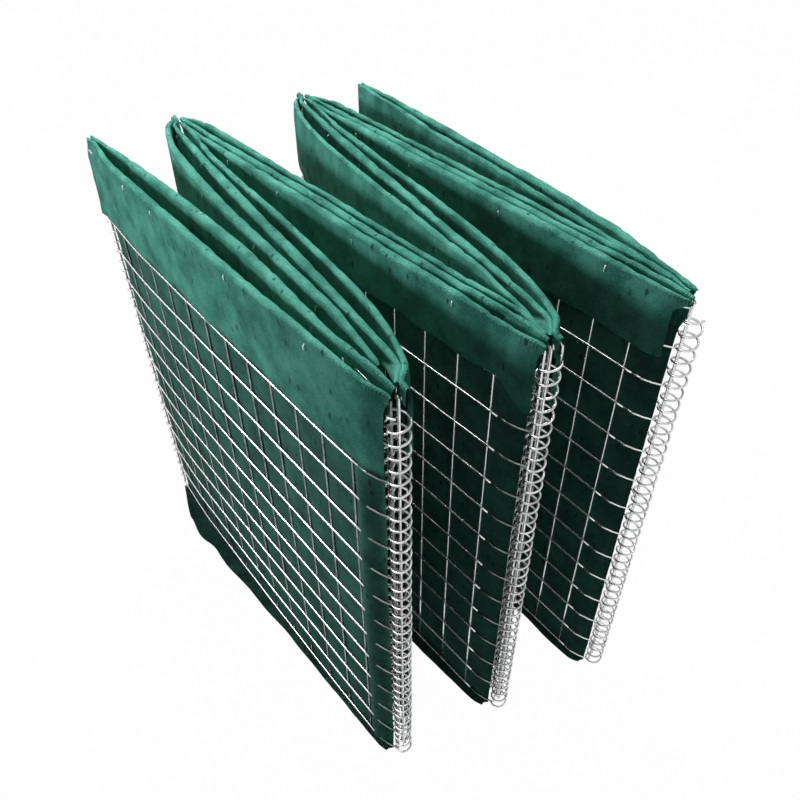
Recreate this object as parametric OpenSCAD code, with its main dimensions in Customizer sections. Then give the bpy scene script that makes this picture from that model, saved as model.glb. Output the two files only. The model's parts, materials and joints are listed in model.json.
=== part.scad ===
// Five-cell welded-mesh gabion unit, lined with geotextile, standing half folded like a concertina.
// X runs along the row of near fold tips, Y from the near tips to the far tips, Z up. Millimetres.

/* [Mesh panels] */
// Centre distance of the wires
mesh_pitch = 76.2; // [50:0.1:100]
// Mesh columns of a panel
mesh_columns = 13; // [5:1:20]
// Mesh rows of a panel
mesh_rows = 13; // [5:1:20]
// Diameter of the vertical wires
wire_size = 4; // [2:0.1:6]
// Side of the horizontal wires, drawn as square bars of the same section
bar_size = 3.6; // [2:0.1:6]
// Length of a vertical wire past the outermost horizontal ones
wire_end = 1; // [0.5:0.5:20]
// Depth a vertical wire sinks into the horizontal ones at the weld
weld_sink = 0.6; // [0.2:0.1:1.5]
// Height of the lowest wire's underside over the floor
mesh_lift = 4; // [3:0.5:20]
// Rows of leaves 1, 3 and 5 stand this much higher, so that they pass between the turns of the coils
row_stagger = 4; // [0:0.5:8]

/* [Helical coils] */
// Turns of a coil in one mesh row
turns_per_row = 2; // [1:1:4]
// Mean radius of a coil
coil_radius = 15.4; // [12:0.1:30]
// Section of the coil's wire
coil_wire = 3.6; // [2:0.1:6]
// Distance of the inner coil's axis behind the tip coil's axis
coil_gap = 44; // [40:1:80]

/* [Folded stance] */
// Axis distance of the tip coils of an end leaf
end_span = 1003; // [900:1:1100]
// Axis distance of the tip coils of the second and fourth leaf
outer_span = 1011; // [900:1:1100]
// Axis distance of the tip coils of the third and fifth leaf
inner_span = 1046; // [900:1:1150]
// Compass angle of leaf 1, from Y toward X
heading_1 = -12.5; // [-60:0.1:60]
// Compass angle of leaf 2
heading_2 = -1.7; // [-60:0.1:60]
// Compass angle of leaf 3
heading_3 = -14.7; // [-60:0.1:60]
// Compass angle of leaf 4
heading_4 = 1; // [-60:0.1:60]
// Compass angle of leaf 5
heading_5 = -13; // [-60:0.1:60]
// Compass angle of leaf 6
heading_6 = -5.4; // [-60:0.1:60]
// Distance of an opened edge behind the inner coil's axis
open_setback = 60; // [40:1:90]

/* [Plan lines of the panels] */
// Bow of the front and the diaphragm of leaf 1
front_bow = 20; // [0:1:40]
// Bow of the panels that swing with a tip coil
gentle_bow = 12; // [0:1:30]
// Bow of the outer panels of leaves 2 and 4
wide_bow = 28; // [0:1:50]
// Bulge of a swinging panel beside its tip coil
snug_swell = 12.5; // [0:0.5:30]
// The same on the last front
tight_swell = 16; // [0:0.5:30]
// Bulge of a swinging panel beside its inner coil
inner_swell = 6; // [0:0.5:20]
// Bulge of a middle diaphragm past the near inner coil
divider_swell_near = 34; // [20:1:60]
// Bulge of a middle diaphragm past the far inner coil
divider_swell_far = 35; // [20:1:60]
// Bulge of the outer panels of leaves 2 and 4 past the near coils
outer_swell_near = 49; // [30:1:80]
// Bulge of the outer panels of leaves 2 and 4 past the far coils
outer_swell_far = 56; // [30:1:80]
// Bulge of the last diaphragm past the near inner coil
end_swell = 52; // [30:1:80]
// Length of a small bulge
short_reach = 62; // [40:1:120]
// Length of a diaphragm's bulge
mid_reach = 80; // [50:1:140]
// Length of an outer panel's bulge
long_reach = 105; // [60:1:160]

/* [Edge wires in the coils] */
// Swinging edge wire, aside of the coil's axis
swing_edge = 11.8; // [6:0.1:13]
// Swinging edge wire, behind the coil's axis
swing_depth = 6; // [0:0.1:12]
// Still edge wire of leaves 2 and 4, aside of the coil's axis
still_edge = 7; // [4:0.1:12]
// Still edge wire of leaves 2 and 4, behind the coil's axis
still_depth = 7; // [0:0.1:12]
// Edge wires in the two end coils, aside of the axis
end_edge = 12.2; // [6:0.1:13]
// Edge wires in the two end coils, behind the axis
end_depth = 8.1; // [0:0.1:12]
// Middle diaphragm's near edge wire, aside of the tip coil's axis
mid_edge_left = 2.1; // [0:0.1:12]
// Middle diaphragm's far edge wire, aside of the tip coil's axis
mid_edge_right = 8.5; // [0:0.1:12]
// Middle diaphragm's edge wires, behind the tip coil's axis
mid_depth = 12.6; // [6:0.1:13]
// First diaphragm's edge wire, aside of the inner coil's axis
hooked_edge = 10.6; // [6:0.1:13]
// Swinging diaphragm's near edge wire, aside of the inner coil's axis
left_edge = 9; // [0:0.1:12]
// Swinging diaphragm's far edge wire, aside of the inner coil's axis
right_edge = 2.6; // [0:0.1:12]
// Swinging diaphragm's edge wires, past the inner coil's axis
hook_depth = 9.5; // [6:0.1:12]
// Swinging back's near edge wire, aside of the inner coil's axis
slack_near = 4; // [0:0.1:12]
// Swinging front's far edge wire, aside of the inner coil's axis
slack_far = 6; // [0:0.1:12]
// The same wires, past the inner coil's axis
slack_depth = 10.4; // [6:0.1:12]
// Opened edge of a back, aside of the inner coil's axis
open_aside = 15; // [10:1:40]
// Opened edge of a front, aside of the inner coil's axis
front_open_aside = 18; // [10:1:40]
// Opened edge of the last back, aside of the inner coil's axis
wide_open_aside = 24; // [10:1:40]

/* [Geotextile liner] */
// Thickness of the felt
felt = 2.5; // [1.5:0.1:5]
// Air between the felt and the wires
felt_air = 0.5; // [0.2:0.1:2]
// Height of the folded hem over the top wire
hem_rise = 25; // [10:1:60]
// Mesh rows covered by the flap of the first front
long_flap_rows = 1.9; // [0.5:0.1:4]
// Mesh rows covered by the other flaps
short_flap_rows = 1.4; // [0.5:0.1:4]
// Width of the skirt on the floor outside a front
skirt_width = 26; // [10:1:60]
// Mesh column where the skirt of a front ends
skirt_columns = 8; // [3:1:12]
// Clear distance from a coil's axis to the felt
felt_clear = 24; // [20:1:60]
// Clear distance from a tip coil's axis to the felt of the outer panels of leaves 2 and 4
outer_clear = 30; // [20:1:60]
// Clear distance from an inner coil's axis to the felt of a diaphragm
divider_clear = 32; // [20:1:90]

/* [Hidden] */
$fn = 48;

panel_height = mesh_rows * mesh_pitch;
coil_pitch = mesh_pitch / turns_per_row;
// A coil ends half a turn below the top wire
coil_halves = 2 * mesh_rows * turns_per_row - 1;
coil_rise_angle = atan(coil_pitch / 4 / coil_radius);
coil_sweep = coil_radius / cos(coil_rise_angle);
cross_offset = (bar_size + wire_size) / 2 - weld_sink;
felt_near = cross_offset + wire_size / 2 + felt_air;
felt_far = felt_near + felt;
flap_near = bar_size / 2 + felt_air;
flap_far = flap_near + felt;

// Underside of a leaf's lowest wire; the odd leaves stand higher
function lift_of(leaf) = mesh_lift + (leaf % 2 == 0 ? row_stagger : 0);
hem_top = lift_of(0) + panel_height + bar_size + hem_rise;

// Plan directions: heading of a leaf and its right-hand side
function along(h) = [sin(h), cos(h)];
function aside(h) = [cos(h), -sin(h)];

HEADINGS = [heading_1, heading_2, heading_3, heading_4, heading_5, heading_6];
SPANS = [end_span, outer_span, inner_span, outer_span, inner_span, outer_span];

// Tip coils in plan, from the first far tip to the last one
chain_b = [0, 0];
chain_a = chain_b + SPANS[0] * along(heading_1);
chain_c = chain_b + SPANS[1] * along(heading_2);
chain_d = chain_c - SPANS[2] * along(heading_3);
chain_e = chain_d + SPANS[3] * along(heading_4);
chain_f = chain_e - SPANS[4] * along(heading_5);
chain_g = chain_f + SPANS[5] * along(heading_6);
// The last diaphragm swells past the last near tip by this much more than a coil does
end_overhang = 29.2;
plan_shift = -[(chain_a[0] + chain_f[0] + end_overhang) / 2, (chain_f[1] + chain_c[1]) / 2];
tip_a = chain_a + plan_shift;
tip_b = chain_b + plan_shift;
tip_c = chain_c + plan_shift;
tip_d = chain_d + plan_shift;
tip_e = chain_e + plan_shift;
tip_f = chain_f + plan_shift;
tip_g = chain_g + plan_shift;

// Inner coils sit behind the tip coils on the bisector of the two leaves
bisect_b = (heading_1 + heading_2) / 2;
bisect_c = (heading_2 + heading_3) / 2;
bisect_d = (heading_3 + heading_4) / 2;
bisect_e = (heading_4 + heading_5) / 2;
bisect_f = (heading_5 + heading_6) / 2;
inner_b = tip_b + coil_gap * along(bisect_b);
inner_c = tip_c - coil_gap * along(bisect_c);
inner_d = tip_d + coil_gap * along(bisect_d);
inner_e = tip_e - coil_gap * along(bisect_e);
inner_f = tip_f + coil_gap * along(bisect_f);

NEAR_TIPS = [tip_b, tip_b, tip_d, tip_d, tip_f, tip_f];
NEAR_INNER = [inner_b, inner_b, inner_d, inner_d, inner_f, inner_f];
FAR_TIPS = [tip_a, tip_c, tip_c, tip_e, tip_e, tip_g];
FAR_INNER = [tip_a, inner_c, inner_c, inner_e, inner_e, tip_g];

// A point of the plan in the coordinates of a leaf: right of its axis, and along it
function in_leaf(leaf, p) =
  let (d = p - NEAR_TIPS[leaf])
  [d * aside(HEADINGS[leaf]), d * along(HEADINGS[leaf])];

// Mesh columns at which the plan line of a panel is bent
end_bend = 0.5;
side_bend = 2.5;
function bends(bow, swell_near, swell_far) =
  let (swelled = swell_near != 0 || swell_far != 0)
  concat([0],
    swell_near != 0 ? [end_bend] : [],
    swelled ? [side_bend, mesh_columns - side_bend] : bow != 0 ? [mesh_columns / 2] : [],
    swell_far != 0 ? [mesh_columns - end_bend] : [],
    [mesh_columns]);
function swell(x) = x <= 0 ? 0 : x * exp(1 - x);

// One panel's plan line as [column, right of the leaf's axis], bent out past the coils and bowed
function plan_line(from, to, bow, swell_near, swell_far, reach) =
  [for (c = bends(bow, swell_near, swell_far))
    let (u = c / mesh_columns, s = from[1] + u * (to[1] - from[1]))
    [c, from[0] + u * (to[0] - from[0]) + 4 * bow * u * (1 - u)
      + swell_near * swell((s - from[1]) / reach)
      + swell_far * swell((to[1] - s) / reach)]];

// Panel data: leaf, outward side, near edge, far edge, plan line, felt start, felt end
function panel(leaf, side, from, to, bow, swell_near, swell_far, reach, felt_from, felt_to) =
  [leaf, side, from, to, plan_line(from, to, bow, swell_near, swell_far, reach), felt_from, felt_to];

function stations(p) = [for (bend = p[4]) bend[0]];
function right_of(p, column) = lookup(column, p[4]);
function depth_of(p, column) = p[2][1] + column / mesh_columns * (p[3][1] - p[2][1]);
function column_of(p, s) = (s - p[2][1]) / (p[3][1] - p[2][1]) * mesh_columns;

// Edge wires in the coils, in leaf coordinates
function near_tip(leaf, right, deep) = [right, deep];
function far_tip(leaf, right, deep) = in_leaf(leaf, FAR_TIPS[leaf]) + [right, -deep];
function near_inner(leaf, right, deep) = in_leaf(leaf, NEAR_INNER[leaf]) + [right, deep];
function far_inner(leaf, right, deep) = in_leaf(leaf, FAR_INNER[leaf]) + [right, -deep];
function felt_start(leaf, clear) = in_leaf(leaf, NEAR_INNER[leaf])[1] + clear;
function felt_stop(leaf, clear) = in_leaf(leaf, FAR_INNER[leaf])[1] - clear;
function felt_tip_start(leaf, clear) = clear;
function felt_tip_stop(leaf, clear) = in_leaf(leaf, FAR_TIPS[leaf])[1] - clear;

PANEL_F1 = panel(0, -1, near_tip(0, -swing_edge, swing_depth), far_tip(0, -end_edge, end_depth),
  -front_bow, -snug_swell, 0, short_reach, felt_tip_start(0, felt_clear), felt_tip_stop(0, felt_clear));
PANEL_D0 = panel(0, 1, near_inner(0, -hooked_edge, 0), far_tip(0, end_edge, end_depth),
  front_bow, 0, 0, short_reach, felt_start(0, felt_clear), felt_tip_stop(0, felt_clear));

PANEL_B1 = panel(1, -1, near_inner(1, open_aside, open_setback), far_tip(1, -still_edge, still_depth),
  -wide_bow, 0, -outer_swell_far, long_reach, felt_start(1, open_setback), felt_tip_stop(1, outer_clear));
PANEL_D1 = panel(1, -1, near_tip(1, mid_edge_left, mid_depth), far_tip(1, -mid_edge_right, mid_depth),
  0, divider_swell_near, -divider_swell_far, mid_reach,
  felt_start(1, divider_clear), felt_stop(1, divider_clear));
PANEL_F2 = panel(1, 1, near_tip(1, still_edge, still_depth), far_inner(1, -front_open_aside, open_setback),
  wide_bow, outer_swell_near, 0, long_reach, felt_tip_start(1, outer_clear), felt_stop(1, open_setback));

PANEL_F3 = panel(2, -1, near_tip(2, -swing_edge, swing_depth), far_inner(2, -slack_far, -slack_depth),
  -gentle_bow, -snug_swell, -inner_swell, short_reach,
  felt_tip_start(2, felt_clear), felt_stop(2, felt_clear));
PANEL_D2 = panel(2, -1, near_inner(2, -left_edge, -hook_depth), far_inner(2, right_edge, -hook_depth),
  0, 0, 0, short_reach, felt_start(2, felt_clear), felt_stop(2, felt_clear));
PANEL_B2 = panel(2, 1, near_inner(2, slack_near, -slack_depth), far_tip(2, swing_edge, swing_depth),
  gentle_bow, inner_swell, snug_swell, short_reach, felt_start(2, felt_clear), felt_tip_stop(2, felt_clear));

PANEL_B3 = panel(3, -1, near_inner(3, open_aside, open_setback), far_tip(3, -still_edge, still_depth),
  -wide_bow, 0, -outer_swell_far, long_reach, felt_start(3, open_setback), felt_tip_stop(3, outer_clear));
PANEL_D3 = panel(3, -1, near_tip(3, mid_edge_left, mid_depth), far_tip(3, -mid_edge_right, mid_depth),
  0, divider_swell_near, -divider_swell_far, mid_reach,
  felt_start(3, divider_clear), felt_stop(3, divider_clear));
PANEL_F4 = panel(3, 1, near_tip(3, still_edge, still_depth), far_inner(3, -front_open_aside, open_setback),
  wide_bow, outer_swell_near, 0, long_reach, felt_tip_start(3, outer_clear), felt_stop(3, open_setback));

PANEL_F5 = panel(4, -1, near_tip(4, -swing_edge, swing_depth), far_inner(4, -slack_far, -slack_depth),
  -gentle_bow, -tight_swell, -inner_swell, short_reach,
  felt_tip_start(4, felt_clear), felt_stop(4, felt_clear));
PANEL_D4 = panel(4, -1, near_inner(4, -left_edge, -hook_depth), far_inner(4, right_edge, -hook_depth),
  0, 0, 0, short_reach, felt_start(4, felt_clear), felt_stop(4, felt_clear));
PANEL_B4 = panel(4, 1, near_inner(4, slack_near, -slack_depth), far_tip(4, swing_edge, swing_depth),
  gentle_bow, inner_swell, snug_swell, short_reach, felt_start(4, felt_clear), felt_tip_stop(4, felt_clear));

PANEL_B5 = panel(5, -1, near_inner(5, wide_open_aside, open_setback), far_tip(5, -end_edge, end_depth),
  -gentle_bow, 0, 0, long_reach, felt_start(5, open_setback), felt_tip_stop(5, felt_clear));
PANEL_D5 = panel(5, 1, near_tip(5, mid_edge_right, mid_depth), far_tip(5, end_edge, end_depth),
  gentle_bow, end_swell, 0, mid_reach, felt_start(5, divider_clear), felt_tip_stop(5, felt_clear));

// Children are drawn in the coordinates of a leaf
module on_leaf(leaf) {
  translate([NEAR_TIPS[leaf][0], NEAR_TIPS[leaf][1], 0])
    rotate([0, 0, -HEADINGS[leaf]])
      children();
}

// A strip along a panel's plan line between two offsets, from one height to another
module strip(p, columns, off_a, off_b, low, high) {
  near_side = [for (c = columns) [right_of(p, c) + off_a, depth_of(p, c)]];
  far_side = [for (k = [len(columns) - 1 : -1 : 0])
    [right_of(p, columns[k]) + off_b, depth_of(p, columns[k])]];
  translate([0, 0, low])
    linear_extrude(height = high - low)
      polygon(concat(near_side, far_side));
}

function felt_columns(p, c_from, c_to) =
  concat([c_from], [for (c = stations(p)) if (c > c_from && c < c_to) c], [c_to]);

// Welded mesh: horizontal bars outside, vertical bars inside
module mesh_panel(p) {
  color("silver")
    on_leaf(p[0])
      union() {
        for (row = [0 : mesh_rows])
          strip(p, stations(p), -bar_size / 2, bar_size / 2,
            lift_of(p[0]) + row * mesh_pitch, lift_of(p[0]) + row * mesh_pitch + bar_size);
        for (column = [0 : mesh_columns])
          translate([right_of(p, column) - p[1] * cross_offset, depth_of(p, column),
            lift_of(p[0]) - wire_end])
            rotate([0, 0, p[1] > 0 ? 180 : 0])
              cylinder(d = wire_size, h = panel_height + bar_size + 2 * wire_end);
      }
}

// Felt: a sheet inside the mesh, a hem over the top wire and a flap hanging outside
module felt_liner(p, flap_rows, skirted) {
  side = p[1];
  columns = felt_columns(p, column_of(p, p[5]), column_of(p, p[6]));
  skirt = felt_columns(p, column_of(p, p[5]), skirt_columns);
  color("seagreen")
    on_leaf(p[0])
      union() {
        strip(p, columns, -side * felt_near, -side * felt_far, 0, hem_top);
        strip(p, columns, -side * felt_far, side * flap_far, hem_top - felt, hem_top);
        strip(p, columns, side * flap_near, side * flap_far,
          lift_of(p[0]) + panel_height - flap_rows * mesh_pitch, hem_top);
        if (skirted)
          strip(p, skirt, -side * felt_far, side * skirt_width, 0, felt);
      }
}

// Half a turn of a coil, rising half a pitch
module half_turn(rise, odd) {
  translate([0, 0, rise + coil_pitch / 4])
    rotate([0, 0, odd ? 180 : 0])
      rotate([0, -coil_rise_angle, 0])
        rotate([0, 0, 180])
          rotate_extrude(angle = 180)
            translate([coil_sweep, 0])
              square(coil_wire, center = true);
}

// A helical coil, turned so that the wires entering at an angle pass between its turns
module coil(at, leaf, enter_angle) {
  color("gainsboro")
    translate([at[0], at[1], lift_of(leaf) + bar_size / 2])
      rotate([0, 0, enter_angle])
        union()
          for (k = [0 : coil_halves - 1])
            half_turn(k * coil_pitch / 2, k % 2 == 1);
}

module front_panel_1() mesh_panel(PANEL_F1);
module front_panel_2() mesh_panel(PANEL_F2);
module front_panel_3() mesh_panel(PANEL_F3);
module front_panel_4() mesh_panel(PANEL_F4);
module front_panel_5() mesh_panel(PANEL_F5);
module back_panel_1() mesh_panel(PANEL_B1);
module back_panel_2() mesh_panel(PANEL_B2);
module back_panel_3() mesh_panel(PANEL_B3);
module back_panel_4() mesh_panel(PANEL_B4);
module back_panel_5() mesh_panel(PANEL_B5);
module divider_panel_0() mesh_panel(PANEL_D0);
module divider_panel_1() mesh_panel(PANEL_D1);
module divider_panel_2() mesh_panel(PANEL_D2);
module divider_panel_3() mesh_panel(PANEL_D3);
module divider_panel_4() mesh_panel(PANEL_D4);
module divider_panel_5() mesh_panel(PANEL_D5);

module front_liner_1() felt_liner(PANEL_F1, long_flap_rows, true);
module front_liner_2() felt_liner(PANEL_F2, short_flap_rows, false);
module front_liner_3() felt_liner(PANEL_F3, short_flap_rows, true);
module front_liner_4() felt_liner(PANEL_F4, short_flap_rows, false);
module front_liner_5() felt_liner(PANEL_F5, short_flap_rows, true);
module back_liner_1() felt_liner(PANEL_B1, short_flap_rows, false);
module back_liner_2() felt_liner(PANEL_B2, short_flap_rows, false);
module back_liner_3() felt_liner(PANEL_B3, short_flap_rows, false);
module back_liner_4() felt_liner(PANEL_B4, short_flap_rows, false);
module back_liner_5() felt_liner(PANEL_B5, short_flap_rows, false);
module divider_liner_0() felt_liner(PANEL_D0, short_flap_rows, false);
module divider_liner_1() felt_liner(PANEL_D1, short_flap_rows, false);
module divider_liner_2() felt_liner(PANEL_D2, short_flap_rows, false);
module divider_liner_3() felt_liner(PANEL_D3, short_flap_rows, false);
module divider_liner_4() felt_liner(PANEL_D4, short_flap_rows, false);
module divider_liner_5() felt_liner(PANEL_D5, short_flap_rows, false);

// Middle of the angles at which wires enter a coil over the range of its fold
swing_phase = 68;
near_phase = 90 + swing_phase;
far_phase = -90 + swing_phase;
still_near = 90;
still_far = -90;

module front_coil_0() coil(tip_a, 0, still_far - heading_1);
module front_coil_1() coil(tip_b, 1, near_phase - heading_2);
module front_coil_2() coil(inner_c, 2, still_far - heading_3);
module front_coil_3() coil(tip_d, 3, near_phase - heading_4);
module front_coil_4() coil(inner_e, 4, still_far - heading_5);
module front_coil_5() coil(tip_f, 5, near_phase - heading_6);
module back_coil_0() coil(inner_b, 0, still_near - heading_1);
module back_coil_1() coil(tip_c, 1, far_phase - heading_2);
module back_coil_2() coil(inner_d, 2, still_near - heading_3);
module back_coil_3() coil(tip_e, 3, far_phase - heading_4);
module back_coil_4() coil(inner_f, 4, still_near - heading_5);
module back_coil_5() coil(tip_g, 5, still_far - heading_6);

front_panel_1();
front_panel_2();
front_panel_3();
front_panel_4();
front_panel_5();
back_panel_1();
back_panel_2();
back_panel_3();
back_panel_4();
back_panel_5();
divider_panel_0();
divider_panel_1();
divider_panel_2();
divider_panel_3();
divider_panel_4();
divider_panel_5();
front_liner_1();
front_liner_2();
front_liner_3();
front_liner_4();
front_liner_5();
back_liner_1();
back_liner_2();
back_liner_3();
back_liner_4();
back_liner_5();
divider_liner_0();
divider_liner_1();
divider_liner_2();
divider_liner_3();
divider_liner_4();
divider_liner_5();
front_coil_0();
front_coil_1();
front_coil_2();
front_coil_3();
front_coil_4();
front_coil_5();
back_coil_0();
back_coil_1();
back_coil_2();
back_coil_3();
back_coil_4();
back_coil_5();
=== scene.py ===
"""Looks of the half-folded gabion unit: round welded wire, fine coils and hung felt, in metres."""
import json
import math

import bpy
import numpy as np
from mathutils import Matrix, Vector, noise

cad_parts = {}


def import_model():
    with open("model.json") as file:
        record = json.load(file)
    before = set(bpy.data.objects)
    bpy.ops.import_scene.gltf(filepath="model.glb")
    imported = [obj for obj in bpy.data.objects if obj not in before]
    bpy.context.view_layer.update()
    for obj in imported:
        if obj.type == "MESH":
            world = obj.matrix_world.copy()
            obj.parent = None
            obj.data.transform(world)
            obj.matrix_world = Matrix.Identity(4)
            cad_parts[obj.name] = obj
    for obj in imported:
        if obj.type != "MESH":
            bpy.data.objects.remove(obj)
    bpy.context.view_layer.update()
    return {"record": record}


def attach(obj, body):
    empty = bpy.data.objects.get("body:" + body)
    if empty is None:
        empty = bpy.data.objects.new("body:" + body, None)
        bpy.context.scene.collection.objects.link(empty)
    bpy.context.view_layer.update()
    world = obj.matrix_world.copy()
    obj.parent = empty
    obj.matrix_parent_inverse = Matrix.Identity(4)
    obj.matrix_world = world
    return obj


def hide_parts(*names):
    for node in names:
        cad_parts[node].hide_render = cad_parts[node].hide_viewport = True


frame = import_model()

# Sizes of the unit, as in the part's source
MM = 0.001
PITCH = 76.2 * MM
COLUMNS = 13
ROWS = 13
WIRE = 4 * MM
BAR = 3.6 * MM
CROSS = 3.2 * MM
MESH_LIFT = 4 * MM
STAGGER = 4 * MM
COIL_GAP = 44 * MM
HEM_TOP = 1027.2 * MM
HEADINGS = [-12.5, -1.7, -14.7, 1.0, -13.0, -5.4]
SPANS = [1003 * MM, 1011 * MM, 1046 * MM, 1011 * MM, 1046 * MM, 1011 * MM]
END_OVERHANG = 29.2 * MM
FELT_CLEAR = 24 * MM
OUTER_CLEAR = 30 * MM
DIVIDER_CLEAR = 32 * MM
OPEN_SETBACK = 60 * MM


def along(heading):
    return np.array([math.sin(math.radians(heading)), math.cos(math.radians(heading))])


def aside(heading):
    return np.array([math.cos(math.radians(heading)), -math.sin(math.radians(heading))])


def fold_tips():
    """Plan places of the seven fold tips, by letter."""
    b = np.zeros(2)
    a = b + SPANS[0] * along(HEADINGS[0])
    c = b + SPANS[1] * along(HEADINGS[1])
    d = c - SPANS[2] * along(HEADINGS[2])
    e = d + SPANS[3] * along(HEADINGS[3])
    f = e - SPANS[4] * along(HEADINGS[4])
    g = f + SPANS[5] * along(HEADINGS[5])
    shift = -np.array([(a[0] + f[0] + END_OVERHANG) / 2, (f[1] + c[1]) / 2])
    return {name: p + shift for name, p in zip("ABCDEFG", (a, b, c, d, e, f, g))}


TIPS = fold_tips()
INNER = {}
for place, (letter, sign) in enumerate(zip("BCDEF", (1, -1, 1, -1, 1))):
    bisector = (HEADINGS[place] + HEADINGS[place + 1]) / 2
    INNER[letter] = TIPS[letter] + sign * COIL_GAP * along(bisector)

NEAR = ["B", "B", "D", "D", "F", "F"]
FAR = ["A", "C", "C", "E", "E", "G"]


def lift_of(leaf):
    return MESH_LIFT + (STAGGER if leaf % 2 == 0 else 0)


def in_leaf(leaf, p):
    d = p - TIPS[NEAR[leaf]]
    return np.array([d @ aside(HEADINGS[leaf]), d @ along(HEADINGS[leaf])])


def world(leaf, right, deep, z):
    """Points given right of a leaf's axis, along it and up, in the shared frame."""
    right, deep, z = np.broadcast_arrays(right, deep, z)
    heading = HEADINGS[leaf]
    xy = TIPS[NEAR[leaf]] + right[..., None] * aside(heading) + deep[..., None] * along(heading)
    return np.concatenate([xy, z[..., None]], axis=-1)


# Edges of a panel beside the coils of its near and far fold, in its leaf


def near_tip(side, edge):
    return np.array([side * edge[0], edge[1]]) * MM


def far_tip(leaf, side, edge):
    return in_leaf(leaf, TIPS[FAR[leaf]]) + np.array([side * edge[0], -edge[1]]) * MM


def near_inner(leaf, side, edge):
    return in_leaf(leaf, INNER[NEAR[leaf]]) + np.array([side * edge[0], edge[1]]) * MM


def far_inner(leaf, side, edge):
    return in_leaf(leaf, INNER[FAR[leaf]]) + np.array([side * edge[0], -edge[1]]) * MM


def swell(x):
    """Rises from nothing to one at x = 1 and dies away after it."""
    return np.where(x <= 0, 0.0, x * np.exp(1 - x))


def smooth_line(xs, ys):
    """A monotone cubic through the bends of a plan line."""
    xs, ys = np.array(xs, float), np.array(ys, float)
    steps = np.diff(xs)
    slopes = np.diff(ys) / steps
    m = np.zeros(len(xs))
    m[0], m[-1] = slopes[0], slopes[-1]
    for k in range(1, len(xs) - 1):
        if slopes[k - 1] * slopes[k] > 0:
            wa, wb = 2 * steps[k] + steps[k - 1], steps[k] + 2 * steps[k - 1]
            m[k] = (wa + wb) / (wa / slopes[k - 1] + wb / slopes[k])

    def value(x):
        x = np.asarray(x, float)
        k = np.clip(np.searchsorted(xs, x) - 1, 0, len(steps) - 1)
        u = (np.clip(x, xs[0], xs[-1]) - xs[k]) / steps[k]
        low, high = ys[k], ys[k + 1]
        rise = (2 * u**3 - 3 * u**2 + 1) * low + (3 * u**2 - 2 * u**3) * high
        lean = (u**3 - 2 * u**2 + u) * m[k] + (u**3 - u**2) * m[k + 1]
        return rise + lean * steps[k]

    return value


# Mesh columns from an edge at which a panel's plan line bends
TIGHT_BEND = 0.5
WIDE_BEND = 2.5


class Panel:
    """One mesh panel: its leaf, outward side, edges, plan line and the range of its felt."""

    def __init__(self, name, leaf, side, start, end, bow, bulge_near, bulge_far, reach,
                 felt_start, felt_end):
        self.name, self.leaf, self.side = name, leaf, side
        self.start, self.end = start, end
        self.felt = (felt_start, felt_end)
        bends = [0.0]
        if bulge_near:
            bends.append(TIGHT_BEND)
        if bulge_near or bulge_far:
            bends += [WIDE_BEND, COLUMNS - WIDE_BEND]
        elif bow:
            bends.append(COLUMNS / 2)
        if bulge_far:
            bends.append(COLUMNS - TIGHT_BEND)
        bends.append(float(COLUMNS))
        u = np.array(bends) / COLUMNS
        deep = start[1] + u * (end[1] - start[1])
        right = start[0] + u * (end[0] - start[0]) + 4 * bow * MM * u * (1 - u)
        right = right + bulge_near * MM * swell((deep - start[1]) / (reach * MM))
        right = right + bulge_far * MM * swell((end[1] - deep) / (reach * MM))
        self.line = smooth_line(bends, right)

    def deep(self, column):
        return self.start[1] + np.asarray(column) / COLUMNS * (self.end[1] - self.start[1])

    def column(self, deep):
        return (deep - self.start[1]) / (self.end[1] - self.start[1]) * COLUMNS

    def place(self, column, out, z):
        """A point at a column, moved outward from the plane of the horizontal wires."""
        right = self.line(column) + self.side * np.asarray(out)
        return world(self.leaf, right, self.deep(column), z)


def felt_range(leaf, near_kind, far_kind):
    """Felt start and end along a leaf, by what the felt stops at."""
    tip_length = in_leaf(leaf, TIPS[FAR[leaf]])[1]
    inner_near = in_leaf(leaf, INNER[NEAR[leaf]])[1]
    inner_far = in_leaf(leaf, INNER[FAR[leaf]])[1] if FAR[leaf] in INNER else tip_length
    starts = {"tip": FELT_CLEAR, "outer": OUTER_CLEAR, "inner": inner_near + FELT_CLEAR,
              "divider": inner_near + DIVIDER_CLEAR, "open": inner_near + OPEN_SETBACK}
    ends = {"tip": tip_length - FELT_CLEAR, "outer": tip_length - OUTER_CLEAR,
            "inner": inner_far - FELT_CLEAR, "divider": inner_far - DIVIDER_CLEAR,
            "open": inner_far - OPEN_SETBACK}
    return starts[near_kind], ends[far_kind]


# Edges of the panels: aside of a coil's axis and back from it, in millimetres
TIP_EDGE = (11.8, 6)
END_EDGE = (12.2, 8.1)
OUTER_EDGE = (7, 7)
DIVIDER_EDGE = (8.5, 12.6)
DIVIDER_NEAR_EDGE = (2.1, 12.6)
OPEN_BACK_EDGE = (15, 60)
OPEN_FRONT_EDGE = (18, 60)
OPEN_LAST_EDGE = (24, 60)
HELD_END_EDGE = (10.6, 0)
HELD_FRONT_EDGE = (6, -10.4)
HELD_BACK_EDGE = (4, -10.4)
HELD_NEAR_EDGE = (9, -9.5)
HELD_FAR_EDGE = (2.6, -9.5)

# Bow of the panels, swell beside the tips and its reach, in millimetres
FIRST_BOW = 20
OUTER_BOW = 28
INNER_BOW = 12
TIP_SWELL = 12.5
LAST_TIP_SWELL = 16
HELD_SWELL = 6
OUTER_SWELL_NEAR = 37
OUTER_SWELL_FAR = 40
DIVIDER_SWELL_NEAR = 26
DIVIDER_SWELL_FAR = 20
SHORT_REACH = 62
MID_REACH = 80
LONG_REACH = 105


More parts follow.
